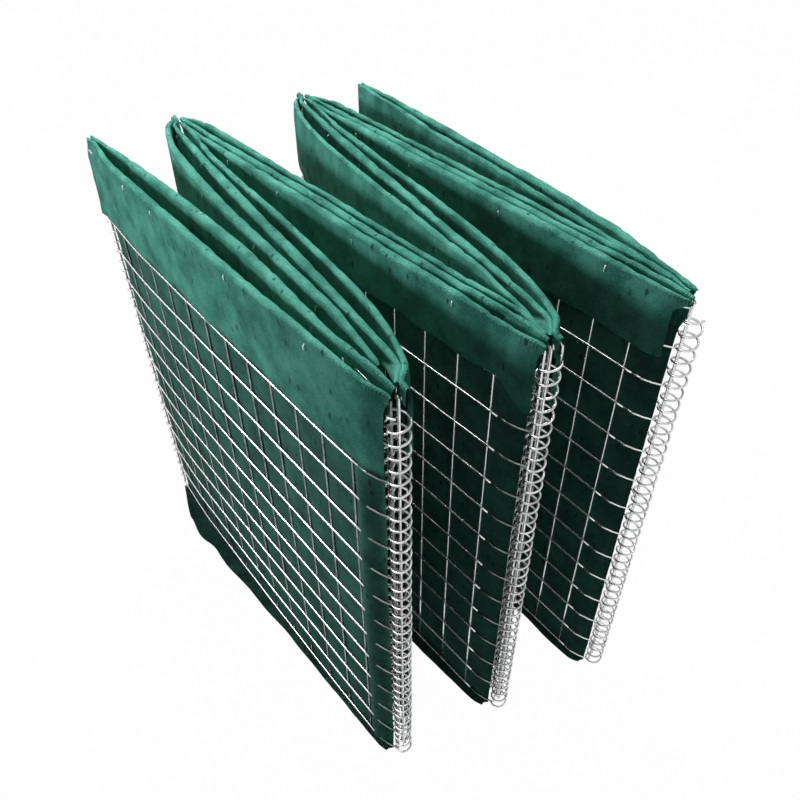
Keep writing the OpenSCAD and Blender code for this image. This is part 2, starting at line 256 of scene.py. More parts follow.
def make_panels():
    panels = {}

    def add(name, leaf, side, start, end, bow, bulge_near, bulge_far, reach, near_kind, far_kind):
        panels[name] = Panel(name, leaf, side, start, end, bow, bulge_near, bulge_far, reach,
                             *felt_range(leaf, near_kind, far_kind))

    add("front_1", 0, -1, near_tip(-1, TIP_EDGE), far_tip(0, -1, END_EDGE),
        -FIRST_BOW, -TIP_SWELL, 0, SHORT_REACH, "tip", "tip")
    add("divider_0", 0, 1, near_inner(0, -1, HELD_END_EDGE), far_tip(0, 1, END_EDGE),
        FIRST_BOW, 0, 0, SHORT_REACH, "inner", "tip")
    for leaf, cell in ((1, 1), (3, 3)):
        add(f"back_{cell}", leaf, -1, near_inner(leaf, 1, OPEN_BACK_EDGE), far_tip(leaf, -1, OUTER_EDGE),
            -OUTER_BOW, 0, -OUTER_SWELL_FAR, LONG_REACH, "open", "outer")
        add(f"divider_{cell}", leaf, -1, near_tip(1, DIVIDER_NEAR_EDGE), far_tip(leaf, -1, DIVIDER_EDGE),
            0, DIVIDER_SWELL_NEAR, -DIVIDER_SWELL_FAR, MID_REACH, "divider", "divider")
        add(f"front_{cell + 1}", leaf, 1, near_tip(1, OUTER_EDGE), far_inner(leaf, -1, OPEN_FRONT_EDGE),
            OUTER_BOW, OUTER_SWELL_NEAR, 0, LONG_REACH, "outer", "open")
    for leaf, cell, tip_swell in ((2, 3, TIP_SWELL), (4, 5, LAST_TIP_SWELL)):
        add(f"front_{cell}", leaf, -1, near_tip(-1, TIP_EDGE), far_inner(leaf, -1, HELD_FRONT_EDGE),
            -INNER_BOW, -tip_swell, -HELD_SWELL, SHORT_REACH, "tip", "inner")
        add(f"divider_{cell - 1}", leaf, -1,
            near_inner(leaf, -1, HELD_NEAR_EDGE), far_inner(leaf, 1, HELD_FAR_EDGE),
            0, 0, 0, SHORT_REACH, "inner", "inner")
        add(f"back_{cell - 1}", leaf, 1, near_inner(leaf, 1, HELD_BACK_EDGE), far_tip(leaf, 1, TIP_EDGE),
            INNER_BOW, HELD_SWELL, TIP_SWELL, SHORT_REACH, "inner", "tip")
    add("back_5", 5, -1, near_inner(5, 1, OPEN_LAST_EDGE), far_tip(5, -1, END_EDGE),
        -INNER_BOW, 0, 0, LONG_REACH, "open", "tip")
    add("divider_5", 5, 1, near_tip(1, DIVIDER_EDGE), far_tip(5, 1, END_EDGE),
        INNER_BOW, DIVIDER_SWELL_NEAR, 0, MID_REACH, "divider", "tip")
    return panels


PANELS = make_panels()


# Camera, from the wire crossings of the photograph
IMAGE = 800
FOCAL_PIXELS = 775.17
SENSOR = 36.0
CLIP = (0.05, 50)
EYE = Vector((-0.46862, -1.16967, 1.66672))
RIGHT = Vector((0.89853, -0.43882, -0.00908))
DOWN = Vector((-0.29873, -0.59626, -0.74514))
FORWARD = Vector((0.32158, 0.67224, -0.66684))


def make_camera():
    data = bpy.data.cameras.new("camera")
    data.sensor_width = SENSOR
    data.lens = FOCAL_PIXELS / IMAGE * SENSOR
    data.clip_start, data.clip_end = CLIP
    camera = bpy.data.objects.new("camera", data)
    turn = Matrix((RIGHT, -DOWN, -FORWARD)).transposed()
    camera.matrix_world = Matrix.Translation(EYE) @ turn.to_4x4()
    bpy.context.scene.collection.objects.link(camera)
    bpy.context.scene.camera = camera


# Mesh helpers


def make_object(name, verts, faces, material, smooth=True):
    mesh = bpy.data.meshes.new(name)
    mesh.from_pydata([tuple(v) for v in verts], [], faces)
    mesh.update()
    if smooth:
        mesh.polygons.foreach_set("use_smooth", [True] * len(mesh.polygons))
    mesh.materials.append(material)
    obj = bpy.data.objects.new(name, mesh)
    bpy.context.scene.collection.objects.link(obj)
    return obj


STEEP = 0.9


class Builder:
    """Gathers tubes into one mesh."""

    def __init__(self):
        self.verts, self.faces, self.count = [], [], 0
        self.kinds = []

    def tube(self, path, radius, sides=8, kind=0):
        path = np.asarray(path, float)
        n = len(path)
        tangent = np.gradient(path, axis=0)
        tangent /= np.linalg.norm(tangent, axis=1)[:, None]
        up = np.array([0.0, 0.0, 1.0])
        if abs(tangent[0] @ up) > STEEP:
            up = np.array([1.0, 0.0, 0.0])
        normal = np.zeros_like(path)
        normal[0] = np.cross(tangent[0], up)
        normal[0] /= np.linalg.norm(normal[0])
        for k in range(1, n):
            v = normal[k - 1] - tangent[k] * (normal[k - 1] @ tangent[k])
            normal[k] = v / np.linalg.norm(v)
        other = np.cross(tangent, normal)
        angle = np.arange(sides) * 2 * math.pi / sides
        radii = np.broadcast_to(np.asarray(radius, float), (n,))
        ring = (normal[:, None] * np.cos(angle)[None, :, None]
                + other[:, None] * np.sin(angle)[None, :, None])
        verts = path[:, None] + ring * radii[:, None, None]
        first = self.count
        self.verts.append(verts.reshape(-1, 3))
        for k in range(n - 1):
            a, b = first + k * sides, first + (k + 1) * sides
            for s in range(sides):
                t = (s + 1) % sides
                self.faces.append((a + s, a + t, b + t, b + s))
        self.faces.append(tuple(first + s for s in reversed(range(sides))))
        self.faces.append(tuple(first + (n - 1) * sides + s for s in range(sides)))
        self.count += n * sides
        self.kinds += [kind] * ((n - 1) * sides + 2)

    def build(self, name, *materials):
        obj = make_object(name, np.concatenate(self.verts), self.faces, materials[0])
        for material in materials[1:]:
            obj.data.materials.append(material)
        obj.data.polygons.foreach_set("material_index", self.kinds)
        return obj


def wobble(seed, x, size):
    """A smooth repeatable waver along a line."""
    return size * np.array([noise.noise(Vector((v, seed * 7.31, seed * 1.7))) for v in np.ravel(x)])


def field(points, scale, seed):
    """Smooth repeatable noise at points in space."""
    flat = np.reshape(points, (-1, 3)) * scale
    values = [noise.noise(Vector((p[0] + seed * 11.3, p[1] - seed * 5.7, p[2] + seed * 3.1))) for p in flat]
    return np.array(values).reshape(np.shape(points)[:-1])


# Materials

ZINC_METAL = 0.85
DULL_ROUGHNESS = 0.34
BRIGHT_ROUGHNESS = 0.15
FIBRE_SHARE = 0.45
BLOTCH_SHARE = 0.55
PIMPLE_SHARE = 0.5
# Darkness of the needle marks, painted shade of the needle dimples
MARK_SHADE = 0.26
MARK_STRETCH = (1.0, 1.0, 0.45)
# Heights between which the ribs of the hems set in, and their share
RIBS_FROM, RIBS_FULL = 1.0, 1.014
RIB_SHARE = 0.45


def new_material(name):
    material = bpy.data.materials.new(name)
    material.use_nodes = True
    tree = material.node_tree
    return material, tree, tree.nodes["Principled BSDF"]


def node(tree, kind, **values):
    made = tree.nodes.new(kind)
    for key, value in values.items():
        made.inputs[key.replace("_", " ")].default_value = value
    return made


def calculate(tree, operation, *values):
    """Output of a math node that is fed by sockets and constants."""
    made = tree.nodes.new("ShaderNodeMath")
    made.operation = operation
    for socket, value in zip(made.inputs, values):
        if isinstance(value, bpy.types.NodeSocket):
            tree.links.new(value, socket)
        else:
            socket.default_value = value
    return made.outputs[0]


def ramp(tree, source, stops):
    made = tree.nodes.new("ShaderNodeValToRGB")
    elements = made.color_ramp.elements
    while len(elements) < len(stops):
        elements.new(0.5)
    for element, (position, colour) in zip(elements, stops):
        element.position = position
        element.color = (*colour, 1)
    tree.links.new(source, made.inputs["Fac"])
    return made


def linear(r, g, b):
    """Linear colour of an sRGB one given from 0 to 255."""
    return tuple((c / 255 / 12.92) if c <= 10 else ((c / 255 + 0.055) / 1.055) ** 2.4 for c in (r, g, b))


def zinc_material(name, light, dark):
    """Galvanised wire: bright zinc with dull patches and fine drawing marks."""
    material, tree, shader = new_material(name)
    where = tree.nodes.new("ShaderNodeTexCoord")
    patches = node(tree, "ShaderNodeTexNoise", Scale=55.0, Detail=4.0)
    grain = node(tree, "ShaderNodeTexNoise", Scale=900.0, Detail=2.0)
    tree.links.new(where.outputs["Object"], patches.inputs["Vector"])
    tree.links.new(where.outputs["Object"], grain.inputs["Vector"])
    colour = ramp(tree, patches.outputs["Fac"], [(0.32, dark), (0.62, light)])
    tree.links.new(colour.outputs["Color"], shader.inputs["Base Color"])
    rough = ramp(tree, patches.outputs["Fac"],
                 [(0.3, (DULL_ROUGHNESS,) * 3), (0.7, (BRIGHT_ROUGHNESS,) * 3)])
    tree.links.new(rough.outputs["Color"], shader.inputs["Roughness"])
    bump = node(tree, "ShaderNodeBump", Strength=0.25, Distance=0.0004)
    tree.links.new(grain.outputs["Fac"], bump.inputs["Height"])
    tree.links.new(bump.outputs["Normal"], shader.inputs["Normal"])
    shader.inputs["Metallic"].default_value = ZINC_METAL
    return material


def felt_colour(tree, where, fibre, light, mid, dark):
    """Mottled green with short dark needle marks, longer than wide: the needle dimples are real, their
    darkness is painted shade.
    """
    blotch = node(tree, "ShaderNodeTexNoise", Scale=16.0, Detail=5.0, Roughness=0.6)
    stretch = node(tree, "ShaderNodeMapping", Scale=MARK_STRETCH)
    marks = node(tree, "ShaderNodeTexVoronoi", Scale=46.0)
    tree.links.new(where, blotch.inputs["Vector"])
    tree.links.new(where, stretch.inputs["Vector"])
    tree.links.new(stretch.outputs["Vector"], marks.inputs["Vector"])
    blotched = calculate(tree, "MULTIPLY", blotch.outputs["Fac"], BLOTCH_SHARE)
    mixed = calculate(tree, "MULTIPLY_ADD", fibre, FIBRE_SHARE, blotched)
    colour = ramp(tree, mixed, [(0.4, dark), (0.5, mid), (0.61, light)])
    shade = ramp(tree, marks.outputs["Distance"], [(0.08, (MARK_SHADE,) * 3), (0.19, (1.0,) * 3)])
    marked = tree.nodes.new("ShaderNodeMix")
    marked.data_type = "RGBA"
    marked.blend_type = "MULTIPLY"
    marked.inputs["Factor"].default_value = 1.0
    tree.links.new(colour.outputs["Color"], marked.inputs["A"])
    tree.links.new(shade.outputs["Color"], marked.inputs["B"])
    return marked.outputs["Result"]


def felt_bump(tree, where, fibre):
    """Fibres and pimples all over, and ribs on the hems only."""
    pimple = node(tree, "ShaderNodeTexVoronoi", Scale=330.0)
    ribs = node(tree, "ShaderNodeTexWave", Scale=80.0, Distortion=4.0, Detail=2.0)
    ribs.bands_direction = "Y"
    split = tree.nodes.new("ShaderNodeSeparateXYZ")
    upper = node(tree, "ShaderNodeMapRange", From_Min=RIBS_FROM, From_Max=RIBS_FULL,
                 To_Min=0.0, To_Max=RIB_SHARE)
    tree.links.new(where, pimple.inputs["Vector"])
    tree.links.new(where, ribs.inputs["Vector"])
    tree.links.new(where, split.inputs[0])
    tree.links.new(split.outputs["Z"], upper.inputs["Value"])
    height = calculate(tree, "MULTIPLY_ADD", pimple.outputs["Distance"], PIMPLE_SHARE, fibre)
    ribbed = calculate(tree, "MULTIPLY_ADD", ribs.outputs["Fac"], upper.outputs["Result"], height)
    bump = node(tree, "ShaderNodeBump", Strength=0.6, Distance=0.0018)
    tree.links.new(ribbed, bump.inputs["Height"])
    return bump.outputs["Normal"]


def felt_material(name, light, mid, dark):
    """Needle-punched felt: mottled green, fine fibres, a faint rib and a soft sheen."""
    material, tree, shader = new_material(name)
    where = tree.nodes.new("ShaderNodeTexCoord").outputs["Object"]
    fibre = node(tree, "ShaderNodeTexNoise", Scale=520.0, Detail=4.0, Roughness=0.7)
    tree.links.new(where, fibre.inputs["Vector"])
    colour = felt_colour(tree, where, fibre.outputs["Fac"], light, mid, dark)
    tree.links.new(colour, shader.inputs["Base Color"])
    tree.links.new(felt_bump(tree, where, fibre.outputs["Fac"]), shader.inputs["Normal"])
    shader.inputs["Roughness"].default_value = 0.92
    shader.inputs["Specular IOR Level"].default_value = 0.2
    shader.inputs["Sheen Weight"].default_value = 0.15
    shader.inputs["Sheen Roughness"].default_value = 0.5
    shader.inputs["Sheen Tint"].default_value = (*light, 1)
    return material


MESH_ZINC = zinc_material("mesh_zinc", linear(250, 250, 249), linear(214, 216, 215))
# A darker copy of the mesh zinc: painted shade on wires that lie in shadow at the near edges and on the
# first front's uprights
SHADE_PAINTED_ZINC = zinc_material("shade_painted_zinc", linear(150, 154, 152), linear(98, 103, 101))
COIL_ZINC = zinc_material("coil_zinc", linear(240, 241, 240), linear(176, 180, 179))
FELT = felt_material("felt", linear(98, 182, 161), linear(70, 150, 130), linear(40, 110, 94))
# A darker copy of the felt: painted shade on the inside sheet behind the mesh
INSIDE_FELT_SHADE = felt_material("felt_inside_shade", linear(66, 130, 114), linear(50, 105, 92), linear(33, 75, 67))


# Welded wire panels

# Mesh columns at which a horizontal wire has a point, from one end to the middle
WIRE_STATIONS = [0, 0.25, 0.5, 0.75, 1, 1.5, 2, 2.5, 3, 4, 5, 6, 6.5]
# Points of each horizontal wire, from its near end, that take the zinc with painted shade
SHADED_STATIONS = 4
UPRIGHT_POINTS = 9
UPRIGHT_PAST = 1 * MM
WIRE_WAVER = 0.7 * MM
WIRE_SAG = 1.0 * MM
UPRIGHT_WAVER = 0.5 * MM
# Kinds of zinc, plain and darker with painted shade; panels whose near stretch stays plain, and panels
# whose uprights take painted shade
PLAIN_ZINC_KIND, SHADE_PAINTED_KIND = 0, 1
UNSHADED_STRETCHES = ("front_5",)
SHADE_PAINTED_UPRIGHTS = ("front_1",)

RING_RADIUS = 8.5 * MM
RING_WIRE = 1.9 * MM
RING_RISE = 3.5 * MM
RING_OUT = -1.6 * MM
RING_TURN = (-40, 250)
RING_POINTS = 16
RING_SIDES = 6
RING_COLUMNS = [2.3, 5.2, 8.4, 10.6]
RING_SLIP = 0.9

# Bent end of one top wire beside its coil: right, along and up in its leaf, in millimetres
BENT_PANEL = "front_4"
BENT_END = [(10.5, 13, 1004), (14.3, 16.5, 1011), (15.8, 8, 1009),
            (17, 0.5, 1004), (20, 2.5, 985), (22.5, 5, 955)]

# Panels whose felts face each other across a narrow gap of the folded stack and lie close to their wires
SNUG = ("back_2", "back_3", "back_4", "back_5", "front_2", "front_4")


def wire_columns():
    half = np.array(WIRE_STATIONS)
    return np.concatenate([half, COLUMNS - half[-2::-1]])


def row_height(leaf, row):
    return lift_of(leaf) + row * PITCH + BAR / 2


def add_rings(build, panel, seed):
    """Open wire rings that tie the hem to the top wire."""
    z = row_height(panel.leaf, ROWS) + RING_RISE
    turn = np.radians(np.linspace(*RING_TURN, RING_POINTS))
    for column, slip in zip(RING_COLUMNS, wobble(seed + 31, np.array(RING_COLUMNS) * 3.7, RING_SLIP)):
        place = np.full(len(turn), column + slip)
        out = RING_OUT + RING_RADIUS * np.cos(turn)
        build.tube(panel.place(place, out, z + RING_RADIUS * np.sin(turn)), RING_WIRE / 2, sides=RING_SIDES)


def add_bent_end(build, panel):
    bent = np.array(BENT_END) * MM
    first = panel.place(np.array([0.0]), 0, row_height(panel.leaf, ROWS))
    path = np.concatenate([first, world(panel.leaf, bent[:, 0], bent[:, 1], bent[:, 2])])
    build.tube(path, WIRE / 2)


def make_mesh(panel, seed):
    """Horizontal wires, darker over their first stretch on most panels as painted shade, on uprights at
    every column; the first front's uprights are darker too, as painted shade.
    """
    build = Builder()
    columns = wire_columns()
    lift = lift_of(panel.leaf)
    stretch = PLAIN_ZINC_KIND if panel.name in UNSHADED_STRETCHES else SHADE_PAINTED_KIND
    uprights = SHADE_PAINTED_KIND if panel.name in SHADE_PAINTED_UPRIGHTS else PLAIN_ZINC_KIND
    for row in range(ROWS + 1):
        out = wobble(seed + row * 0.37, columns * 0.9, WIRE_WAVER)
        rise = wobble(seed + row * 0.53 + 40, columns * 0.7, WIRE_SAG)
        path = panel.place(columns, out, row_height(panel.leaf, row) + rise)
        # The near stretch takes the zinc with painted shade, unless the panel is listed as unshaded
        build.tube(path[:SHADED_STATIONS], WIRE / 2, kind=stretch)
        build.tube(path[SHADED_STATIONS - 1:], WIRE / 2)
    heights = np.linspace(lift - UPRIGHT_PAST, lift + ROWS * PITCH + BAR + UPRIGHT_PAST, UPRIGHT_POINTS)
    for column in range(COLUMNS + 1):
        out = -CROSS + wobble(seed + column * 0.71 + 90, heights * 9, UPRIGHT_WAVER)
        path = panel.place(np.full(len(heights), float(column)), out, heights)
        build.tube(path, WIRE / 2, kind=uprights)
    if panel.name not in SNUG:
        add_rings(build, panel, seed)
    if panel.name == BENT_PANEL:
        add_bent_end(build, panel)
    return build.build("mesh_" + panel.name, MESH_ZINC, SHADE_PAINTED_ZINC)


# Helical coils

COIL_RADIUS = 16 * MM
END_RADIUS = 12.5 * MM
COIL_WIRE = 4 * MM
TURNS_PER_ROW = 3
TURN_STEPS = 18
COIL_WAVER = 0.7 * MM
COIL_DRIFT = 0.8 * MM
TURN_WAVER = 1.2 * MM
# Turns by which a coil stops short of the top wire: at the open near tips, and elsewhere under felt
HIGH_COIL = 0.5
LOW_COIL = 2.0
OPEN_COILS = ("front_coil_1", "front_coil_3", "front_coil_5")
END_COILS = ("front_coil_0", "back_coil_5")
# Axis of each coil, and the leaf that carries it
COILS = {
    "front_coil_0": (TIPS["A"], 0), "front_coil_1": (TIPS["B"], 1), "front_coil_2": (INNER["C"], 2),
    "front_coil_3": (TIPS["D"], 3), "front_coil_4": (INNER["E"], 4), "front_coil_5": (TIPS["F"], 5),
    "back_coil_0": (INNER["B"], 0), "back_coil_1": (TIPS["C"], 1), "back_coil_2": (INNER["D"], 2),
    "back_coil_3": (TIPS["E"], 3), "back_coil_4": (INNER["F"], 4), "back_coil_5": (TIPS["G"], 5),
}
# Starts of the turns, in degrees; the named ones let the wires of the next leaf pass between turns
PHASES = {"front_coil_5": 100, "back_coil_3": 350}
PHASE_STEP = 50


def make_coil(name, axis, leaf, phase, seed):
    build = Builder()
    snug = END_RADIUS if name in END_COILS else COIL_RADIUS
    turns = ROWS * TURNS_PER_ROW - (HIGH_COIL if name in OPEN_COILS else LOW_COIL)
    t = np.linspace(0, turns, int(turns * TURN_STEPS) + 1)
    angle = math.radians(phase) + 2 * math.pi * t
    radius = snug + wobble(seed, t * 0.45, COIL_WAVER)
    drift = wobble(seed + 3, t * 0.3, COIL_DRIFT)
    z = row_height(leaf, 0) + t * (PITCH / TURNS_PER_ROW) + wobble(seed + 5, t * 0.6, TURN_WAVER)
    path = np.stack([axis[0] + radius * np.cos(angle) + drift,
                     axis[1] + radius * np.sin(angle), z], axis=1)
    build.tube(path, COIL_WIRE / 2)
    return build.build("wire_" + name, COIL_ZINC)


# Felt liners

# Places of the inside sheet, the hem and the flap out of the plane of the horizontal wires
INNER_OUT = -5.6 * MM
HEM_OUT = -1.6 * MM
SNUG_OUT = -3.2 * MM
FLAP_OUT = 4.4 * MM
# Distances that they keep from the axis of a tip coil
HEM_CLEAR = 12 * MM
FLAP_CLEAR = 20.5 * MM
SHEET_CLEAR = 20.5 * MM
SHEET_TURN = 48

# Mesh rows that a flap covers
FLAP_ROWS = {"front_1": 1.75, "front_3": 0.97, "front_5": 1.2}
SHORT_FLAP = 1.4

# How far a hem and a flap run round a tip coil, in degrees from the leaf
ROUND = {
    "swing": (76, 60), "bare": (76, None), "carry": (112, 92),
    "tuck": (None, 58), "hood": (150, 92), "close": (165, 62),
}
# Near end and far end of each panel's hem: round a tip coil, over an inner coil, or up to a free end
ENDS = {
    "front_1": ("swing", "close"), "divider_0": ("over", "close"),
    "back_1": ("free", "hood"), "divider_1": ("mid", "mid"), "front_2": ("carry", "free"),
    "front_3": ("swing", "over"), "divider_2": ("over", "over"), "back_2": ("over", "tuck"),
    "back_3": ("free", "hood"), "divider_3": ("mid", "mid"), "front_4": ("carry", "free"),
    "front_5": ("bare", "over"), "divider_4": ("over", "over"), "back_4": ("over", "tuck"),
    "back_5": ("free", "close"), "divider_5": ("mid", "close"),
}
OVER_CLEAR = 20 * MM
DIVIDER_OVER_CLEAR = 8 * MM
FREE_SHORT = 14 * MM
MID_CLEAR = 13 * MM
TUCK_CLEAR = 3 * MM
CLOSE_REACH = 120 * MM
CLOSE_ASIDE = 3.5 * MM
# The hem that runs straight, and its slope across its leaf
STRAIGHT_HEM = "divider_5"
STRAIGHT_SLOPE = 0.12

# Drop of the hem's ends, by kind, and how soon along the hem it sets in
DROPS = {"swing": 9 * MM, "bare": 9 * MM, "tuck": 4.5 * MM, "over": 4.5 * MM}
END_DROP = 1.5 * MM
DROP_RATE = 20
END_PINCH_SHARE = 0.35
END_RATE = 90
END_TAPER_RATE = 3.5

# Roll of the hem, fuller away from its ends, and the ties that pinch it to the top wire
ROLL = 4.4 * MM
ROLL_MORE = 4.4 * MM
SNUG_MORE = 1.4 * MM
ROLL_WAVER = 1.7 * MM
ROLL_POINTS = 11
HEM_SINK = 3.2 * MM
LONG_SAG = 4 * MM
SHORT_SAG = 1.6 * MM
MOST_RISE = 2 * MM
TIES_PER_COLUMN = 1.6
TIE_SHARPNESS = 14
TIE_SQUEEZE = 1.3 * MM
TIE_SINK = 2.2 * MM
TIE_DENT = 3 * MM
TIE_DENT_PLACE = (0.09, 0.07)
# Height at which the inside sheet leaves for the hem, and over how much
HEM_FLARE = (0.955, 0.042)
HOOD_FLARE = (0.935, 0.024)

# Flap: waver of its edge, long folds and short ones, and the corner of the middle front beside its coil
FLAP_WAVER = 4 * MM
LONG_FOLD = 5 * MM
SHORT_FOLD = 2 * MM
FLAP_PRESS = 1.2 * MM
FLAP_FLARE = 2.5 * MM
FLAP_LEAVES_RATE = 6
LOOSE_SHARE = 0.25
LOOSE_MORE_SHARE = 0.35
SNUG_LOOSE_SHARE = 0.12
LONG_CORNER = "front_3"
CORNER_DROP = 42 * MM
CORNER_DROP_PLACE = (0.1, 0.35)
CORNER_LIFT = 8 * MM
CORNER_LIFT_PLACE = (1, 0.3)
EDGE_THICK = 2.4 * MM
EDGE_RISES = (0.5 * MM, 7 * MM)

# Inside sheet: slack between the wires, and the puff of the first front beside its coil
FELT_STEP = 7 * MM
SHEET_FOOT = 2 * MM
SHEET_LOW, SHEET_MIDDLE, SHEET_HIGH, SHEET_TOP = 12 * MM, 0.84, 0.86, 0.985
LOW_ROWS = 46
HIGH_ROWS = 12
FLAP_STEPS = 15
PATH_POINTS = 500
ARC_POINTS = 24
LEAST_ARC = 0.01
# Rows at the top of the inside sheet that have the hem's colour; the rows below take the darker felt,
# painted shade
HEM_COLOUR_ROWS = 3
LONG_SLACK = 3 * MM
SHORT_SLACK = 1 * MM
MOST_SLACK = 0.8 * MM
SHEET_AIR = 0.6 * MM
BULGE = 1.8 * MM
PUFFED = ("front_1",)
PUFF = 12 * MM
PUFF_PLACE = (0.67, 0.22)
PUFF_LESS = 3 * MM
CREASE = 5 * MM
PUFF_BELOW = 4 * MM
PUFF_FADE = 34 * MM
RECESS = 3 * MM
RECESS_PLACE = (0.3, 0.16)

# Width of the skirt on the floor in millimetres, by mesh column
SKIRTS = {
    "front_1": ([0, 2, 4, 6, 8, 10, 11.3, 12.3, 13], [12, 9, 12, 18, 28, 38, 36, 14, 0]),
    "front_3": ([0, 1, 3, 6, 8, 9, 13], [10, 15, 19, 15, 12, 4, 2]),
    "front_5": ([0, 1, 3, 6, 8, 9, 13], [8, 13, 17, 14, 12, 4, 2]),
}
SKIRT_MORE = 2 * MM
SKIRT_LIFT = 1.6 * MM
SKIRT_LAP = 10 * MM
SKIRT_CURL = 8 * MM
SKIRT_SHARES = (1, 0.06, 9)

# Share of the rows and columns that the felts of the fronts with skirts, and the others, are drawn with
FINE, COARSE = 1.0, 0.7


def smoothstep(x):
    x = np.clip(x, 0, 1)
    return x * x * (3 - 2 * x)


def hump(x, middle, half):
    return np.exp(-((x - middle) / half) ** 2)


def round_coil(panel, axis, sign, points, clear, turn):
    """Carries a plan path on round a tip coil; sign is 1 at the near end and -1 at the far end."""
    angles = np.radians(np.linspace(90, turn, ARC_POINTS))
    start = abs(points[0 if sign > 0 else -1][0] - axis[0])
    turned = (angles - angles[0]) / max(angles[-1] - angles[0], LEAST_ARC)
    radius = clear + (start - clear) * (1 - smoothstep(turned))
    arc = np.stack([axis[0] + panel.side * radius * np.sin(angles),
                    axis[1] + sign * radius * np.cos(angles)], axis=1)[1:]
    if sign > 0:
        return np.concatenate([arc[::-1], points])
    return np.concatenate([points, arc])


def felt_path(panel, out, deep_from, deep_to, count, clear, turns):
    """An even plan path along a panel, kept clear of tip coils, with its outward normals and columns."""
    axes = [np.zeros(2), in_leaf(panel.leaf, TIPS[FAR[panel.leaf]])]
    if turns[0] is not None:
        deep_from = clear * math.cos(math.radians(min(turns[0], 90)))
    if turns[1] is not None:
        deep_to = axes[1][1] - clear * math.cos(math.radians(min(turns[1], 90)))
    deep = np.linspace(deep_from, deep_to, PATH_POINTS)
    right = panel.line(np.clip(panel.column(deep), 0, COLUMNS)) + panel.side * out
    for axis, turn in zip(axes, turns):
        if turn is not None:
            reach = np.sqrt(np.maximum(clear**2 - (deep - axis[1]) ** 2, 0))
            aside_by = panel.side * (right - axis[0])
            right = axis[0] + panel.side * np.maximum(aside_by, reach)
    points = np.stack([right, deep], axis=1)
    for axis, turn, sign in zip(axes, turns, (1, -1)):
        if turn is not None and turn > 90:
            points = round_coil(panel, axis, sign, points, clear, turn)
    run = np.concatenate([[0], np.cumsum(np.linalg.norm(np.diff(points, axis=0), axis=1))])
    even = np.linspace(0, run[-1], count)
    path = np.stack([np.interp(even, run, points[:, 0]), np.interp(even, run, points[:, 1])], axis=1)
    tangent = np.gradient(path, axis=0)
    tangent /= np.linalg.norm(tangent, axis=1)[:, None]
    normal = panel.side * np.stack([tangent[:, 1], -tangent[:, 0]], axis=1)
    return path, normal, panel.column(path[:, 1])


def felt_ends(panel):
    """Range of a panel's hem, and how far its hem and its flap turn round tip coils."""
    near, far = ENDS[panel.name]
    leaf = panel.leaf
    inner_near = in_leaf(leaf, INNER[NEAR[leaf]])[1]
    tip_far = in_leaf(leaf, TIPS[FAR[leaf]])[1]
    inner_far = in_leaf(leaf, INNER[FAR[leaf]])[1] if FAR[leaf] in INNER else tip_far
    over = DIVIDER_OVER_CLEAR if panel.name.startswith("divider") else OVER_CLEAR
    low = {"over": over, "free": inner_near + FREE_SHORT, "mid": MID_CLEAR}
    high = {"over": tip_far - over, "free": inner_far - FREE_SHORT, "mid": tip_far - MID_CLEAR,
            "tuck": tip_far - TUCK_CLEAR}
    hem = (low.get(near, 0.0), high.get(far, tip_far))
    near_turns, far_turns = (ROUND.get(kind, (None, None)) for kind in (near, far))
    return hem, (near_turns[0], far_turns[0]), (near_turns[1], far_turns[1])


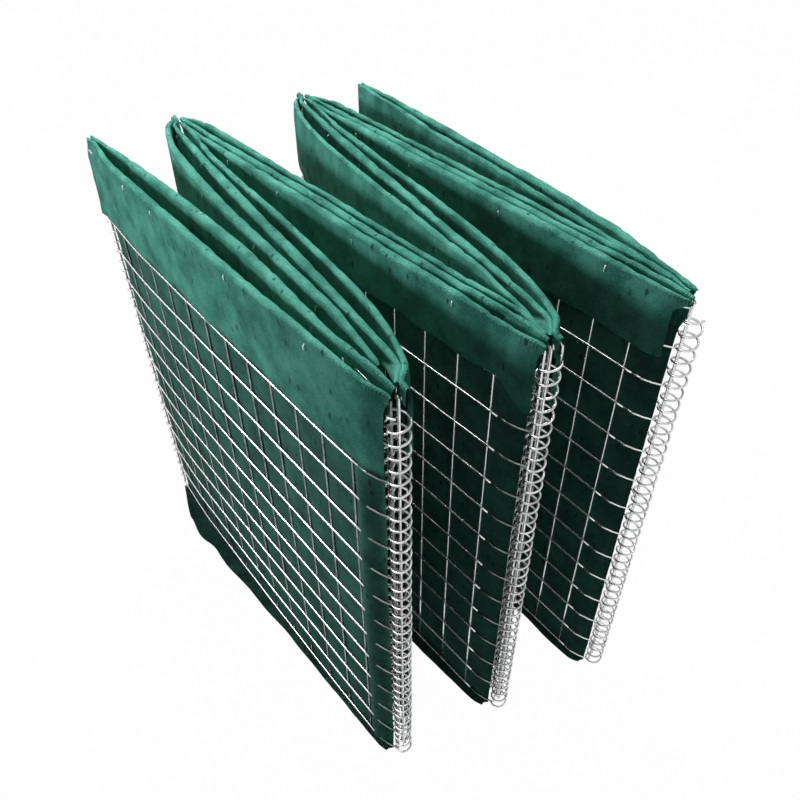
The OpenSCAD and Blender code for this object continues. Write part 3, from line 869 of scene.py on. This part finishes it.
class Felt:
    """One sheet: up inside the mesh, over the top wire as a rolled hem, and down outside as a flap."""

    def __init__(self, panel, seed, flap_rows, detail):
        self.panel, self.seed, self.detail = panel, seed, detail
        self.lift = lift_of(panel.leaf)
        self.snug = panel.name in SNUG
        self.count = int((panel.felt[1] - panel.felt[0]) / FELT_STEP * detail) + 1
        self.rows = []
        self.lay_paths()
        self.shape_hem()
        self.cut_flap(flap_rows)

    def wave(self, offset, rate, size):
        """A waver along the sheet, by mesh column."""
        return wobble(self.seed + offset, self.column * rate, size)

    def add(self, plan, z):
        heights = np.broadcast_to(z, (self.count,))
        self.rows.append(world(self.panel.leaf, plan[:, 0], plan[:, 1], heights))

    def lay_paths(self):
        panel, count = self.panel, self.count
        hem_range, hem_turns, flap_turns = felt_ends(panel)
        sheet_turns = (SHEET_TURN if panel.name in SKIRTS else None, None)
        hem_out = SNUG_OUT if self.snug else HEM_OUT
        self.inner, self.inner_normal, self.column = felt_path(
            panel, INNER_OUT, *panel.felt, count, SHEET_CLEAR, sheet_turns)
        self.hem, self.hem_normal, _ = felt_path(panel, hem_out, *hem_range, count, HEM_CLEAR, hem_turns)
        self.flap, self.flap_normal, _ = felt_path(
            panel, FLAP_OUT, *panel.felt, count, FLAP_CLEAR, flap_turns)
        if ENDS[panel.name][1] in ("close", "tuck"):
            self.draw_in()
        if panel.name == STRAIGHT_HEM:
            straight = self.hem[0, 0] + (self.hem[:, 1] - self.hem[0, 1]) * STRAIGHT_SLOPE
            self.hem[:, 0] = np.minimum(self.hem[:, 0], straight)

    def draw_in(self):
        """Draws the far end of the hem in to the axis of its tip."""
        side = self.panel.side
        tip = in_leaf(self.panel.leaf, TIPS[FAR[self.panel.leaf]])
        drawn = smoothstep(1 - (tip[1] - self.hem[:, 1]) / CLOSE_REACH)
        drawn_to = tip[0] + side * CLOSE_ASIDE
        self.hem[:, 0] += drawn * np.minimum(side * (drawn_to - self.hem[:, 0]), 0) * side

    def shape_hem(self):
        """Roll and height of the hem, pinched where it is tied to the top wire."""
        share = np.linspace(0, 1, self.count)
        taper = smoothstep(np.minimum(share, 1 - share) * END_TAPER_RATE)
        more = SNUG_MORE if self.snug else ROLL_MORE
        self.loose = 1.0 if self.panel.name in SKIRTS else LOOSE_SHARE + LOOSE_MORE_SHARE * taper
        if self.snug:
            self.loose = SNUG_LOOSE_SHARE
        ties = self.column * TIES_PER_COLUMN + self.wave(1, 0.8, 0.5)
        pinch = np.abs(np.cos(math.pi * ties)) ** TIE_SHARPNESS
        self.pinch = pinch * np.clip(0.65 + self.wave(9, 1.7, 1.0), 0.1, 1)
        roll = ROLL + more * taper + self.wave(2, 2.3, ROLL_WAVER) - TIE_SQUEEZE * self.pinch
        sag = self.wave(4, 0.5, LONG_SAG) + self.wave(3, 2.1, SHORT_SAG)
        hem_z = HEM_TOP - HEM_SINK + np.minimum(sag, MOST_RISE) - TIE_SINK * self.pinch - roll
        for end, kind in zip((share, 1 - share), ENDS[self.panel.name]):
            hem_z = hem_z - DROPS.get(kind, END_DROP) * smoothstep(1 - end * DROP_RATE)
            roll = roll * (1 - END_PINCH_SHARE * smoothstep(1 - end * END_RATE))
        self.roll, self.hem_z = roll, hem_z

    def cut_flap(self, flap_rows):
        """Height of the flap's lower edge, with a long corner on the middle front."""
        self.flap_z = self.lift + (ROWS - flap_rows) * PITCH + self.wave(6, 1.1, FLAP_WAVER)
        if self.panel.name == LONG_CORNER:
            self.flap_z = self.flap_z + CORNER_LIFT * hump(self.column, *CORNER_LIFT_PLACE)
            self.flap_z = self.flap_z - CORNER_DROP * hump(self.column, *CORNER_DROP_PLACE)

    def add_skirt(self):
        width = np.interp(self.column, *SKIRTS[self.panel.name]) * MM
        width = width * (1 + self.wave(12, 0.9, 0.4)) + SKIRT_MORE
        lap = np.abs(self.wave(14, 0.8, SKIRT_LAP))
        for share in np.linspace(*SKIRT_SHARES):
            out = share * (width - INNER_OUT)
            z = SKIRT_LIFT + lap * share**2 * smoothstep((out + INNER_OUT) / SKIRT_CURL)
            self.add(self.inner + self.inner_normal * out[:, None], z)

    def puff(self, point, z):
        """How far the felt stands out beside the coil, less at each horizontal wire and under the flap."""
        row_place = (z - self.lift - BAR / 2) / PITCH
        crease = math.exp(-(abs(row_place - round(row_place)) * PITCH / CREASE) ** 2)
        size = hump(self.column, *PUFF_PLACE) * (PUFF - PUFF_LESS * crease)
        size = size * (0.9 + 0.35 * field(point, 9, self.seed + 7))
        size = size * smoothstep((self.flap_z - PUFF_BELOW - z) / PUFF_FADE)
        return size - RECESS * hump(self.column, *RECESS_PLACE)

    def add_sheet(self):
        """Rows of the inside sheet, from the floor to where it leaves for the hem."""
        flare_from, flare_height = HOOD_FLARE if "hood" in ENDS[self.panel.name] else HEM_FLARE
        between = SHEET_AIR + np.abs(np.sin(math.pi * self.column)) ** 0.7 * BULGE
        heights = np.concatenate([[SHEET_FOOT],
                                  np.linspace(SHEET_LOW, SHEET_MIDDLE, int(LOW_ROWS * self.detail)),
                                  np.linspace(SHEET_HIGH, SHEET_TOP, HIGH_ROWS)])
        for z in heights:
            point = world(self.panel.leaf, self.inner[:, 0], self.inner[:, 1], np.full(self.count, z))
            slack = field(point, 6, self.seed) * LONG_SLACK + field(point, 17, self.seed + 3) * SHORT_SLACK
            out = between + np.clip(slack, -LONG_SLACK, MOST_SLACK)
            if self.panel.name in PUFFED:
                out = out + self.puff(point, z)
            blend = smoothstep((z - flare_from) / flare_height)
            plan = (self.inner + self.inner_normal * out[:, None]) * (1 - blend)
            self.add(plan + (self.hem - self.hem_normal * self.roll[:, None]) * blend, z)

    def add_hem(self):
        for angle in np.radians(np.linspace(180, 0, ROLL_POINTS)):
            out = self.roll * math.cos(angle)
            self.add(self.hem + self.hem_normal * out[:, None], self.hem_z + self.roll * math.sin(angle))

    def add_flap(self):
        """Rows of the flap, with an edge that is turned in."""
        for step in np.linspace(0, 1, int(FLAP_STEPS * self.detail) + 3)[1:]:
            z = self.hem_z + (self.flap_z - self.hem_z) * step
            fold = self.wave(8 + step * 0.3, 0.9, LONG_FOLD) + self.wave(18 + step * 0.8, 2.6, SHORT_FOLD)
            out = (np.maximum(fold * step, -FLAP_PRESS) + FLAP_FLARE * step) * self.loose
            dent = TIE_DENT * self.pinch * hump(step, *TIE_DENT_PLACE)
            near_hem = self.hem + self.hem_normal * (self.roll - dent)[:, None]
            hung = self.flap + self.flap_normal * (out - dent)[:, None]
            blend = smoothstep(step * FLAP_LEAVES_RATE)
            self.add(near_hem * (1 - blend) + hung * blend, z)
        turned = self.flap + self.flap_normal * (out - EDGE_THICK)[:, None]
        for rise in EDGE_RISES:
            self.add(turned, z + rise)

    def build(self):
        """The sheet as one object, and the size it was cut to."""
        if self.panel.name in SKIRTS:
            self.add_skirt()
        self.add_sheet()
        inside_rows = len(self.rows) - HEM_COLOUR_ROWS
        self.add_hem()
        self.add_flap()
        grid = np.stack(self.rows)
        n, m = grid.shape[:2]
        faces = [(r * m + k, r * m + k + 1, (r + 1) * m + k + 1, (r + 1) * m + k)
                 for r in range(n - 1) for k in range(m - 1)]
        obj = make_object("felt_" + self.panel.name, grid.reshape(-1, 3), faces, FELT)
        # The inside sheet below its top rows takes the darker felt, painted shade
        obj.data.materials.append(INSIDE_FELT_SHADE)
        inside = (np.arange(n - 1) < inside_rows).astype(int)
        obj.data.polygons.foreach_set("material_index", np.repeat(inside, m - 1).tolist())
        width = np.median(np.linalg.norm(np.diff(grid, axis=1), axis=2).sum(axis=1))
        length = np.median(np.linalg.norm(np.diff(grid, axis=0), axis=2).sum(axis=0))
        return obj, (float(width), float(length))


# Everything in its place

BODY = {}
for body, members in frame["record"]["behaviour"]["bodies"].items():
    for member in members:
        BODY[member] = body


def node_name(kind, name):
    side, number = name.rsplit("_", 1)
    return f"{side}_{kind}_{number}"


# Steps of the noise from piece to piece
MESH_SEED = 13.7
FELT_SEED = 5.3
COIL_SEED = 3.1

make_camera()

for index, (name, panel) in enumerate(PANELS.items()):
    panel_node, liner_node = node_name("panel", name), node_name("liner", name)
    wires = make_mesh(panel, index * MESH_SEED)
    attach(wires, BODY[panel_node])
    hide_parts(panel_node)
    detail = FINE if name in SKIRTS else COARSE
    felt, flat = Felt(panel, index * FELT_SEED, FLAP_ROWS.get(name, SHORT_FLAP), detail).build()
    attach(felt, BODY[liner_node])
    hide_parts(liner_node)

for index, (name, (axis, leaf)) in enumerate(COILS.items()):
    coil = make_coil(name, axis, leaf, PHASES.get(name, index * PHASE_STEP), index * COIL_SEED)
    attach(coil, BODY[name])
    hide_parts(name)


# Stage: white floor, white surroundings for the camera and for gloss, soft light from above

# Level at which the surroundings light the object
WORLD_LEVEL = 0.055
FLOOR_GREY = 0.22
FLOOR_ROUGHNESS = 0.9
# Share of plain white in the floor that the camera sees; the rest is lit, and takes the shadow
FLOOR_GLOW_SHARE = 0.985
FLOOR_HALF = 8.0
# Place, target, size, power and spread of each lamp, in metres, watts and degrees
TOP_LIGHT = ((0.35, 1.9, 3.8), (0, 0, 1.0), 1.2, 165, 180)
LEFT_LIGHT = ((-2.2, 1.0, 1.65), (-0.25, 0, 0.9), 0.6, 3.0, 50)
GLEAM_LIGHT = ((-1.25, 1.3, 3.1), (0, 0, 0.8), 1.4, 44, 180)


def background_share(tree):
    """One for rays of the camera, gloss and glass, zero for the rest."""
    path = tree.nodes.new("ShaderNodeLightPath")
    total = path.outputs["Is Camera Ray"]
    for other in ("Is Glossy Ray", "Is Transmission Ray"):
        total = calculate(tree, "MAXIMUM", total, path.outputs[other])
    return total


def make_world():
    made = bpy.data.worlds.new("studio")
    made.use_nodes = True
    tree = made.node_tree
    background = tree.nodes["Background"]
    background.inputs["Color"].default_value = (1, 1, 1, 1)
    level = tree.nodes.new("ShaderNodeMapRange")
    level.inputs["To Min"].default_value = WORLD_LEVEL
    level.inputs["To Max"].default_value = 1.0
    tree.links.new(background_share(tree), level.inputs["Value"])
    tree.links.new(level.outputs["Result"], background.inputs["Strength"])
    bpy.context.scene.world = made


def make_floor():
    material, tree, shader = new_material("floor_white")
    shader.inputs["Base Color"].default_value = (FLOOR_GREY, FLOOR_GREY, FLOOR_GREY, 1)
    shader.inputs["Roughness"].default_value = FLOOR_ROUGHNESS
    glow = tree.nodes.new("ShaderNodeEmission")
    glow.inputs["Color"].default_value = (1, 1, 1, 1)
    mix = tree.nodes.new("ShaderNodeMixShader")
    part = calculate(tree, "MULTIPLY", background_share(tree), FLOOR_GLOW_SHARE)
    tree.links.new(part, mix.inputs["Fac"])
    tree.links.new(shader.outputs["BSDF"], mix.inputs[1])
    tree.links.new(glow.outputs["Emission"], mix.inputs[2])
    tree.links.new(mix.outputs["Shader"], tree.nodes["Material Output"].inputs["Surface"])
    half = FLOOR_HALF
    floor = make_object("floor", [(-half, -half, 0), (half, -half, 0), (half, half, 0), (-half, half, 0)],
                        [(0, 1, 2, 3)], material, smooth=False)


def make_lamp(name, place, target, size, power, spread):
    data = bpy.data.lights.new(name, "AREA")
    data.shape = "DISK"
    data.size = size
    data.energy = power
    data.spread = math.radians(spread)
    lamp = bpy.data.objects.new(name, data)
    lamp.location = place
    lamp.rotation_euler = (Vector(target) - Vector(place)).to_track_quat("-Z", "Y").to_euler()
    bpy.context.scene.collection.objects.link(lamp)
    return lamp


make_world()
make_floor()
make_lamp("top_light", *TOP_LIGHT)
make_lamp("left_light", *LEFT_LIGHT)
# The gleam lights gloss only
gleam = make_lamp("gleam_light", *GLEAM_LIGHT)
gleam.visible_diffuse = False
bpy.context.scene.view_settings.view_transform = "Standard"
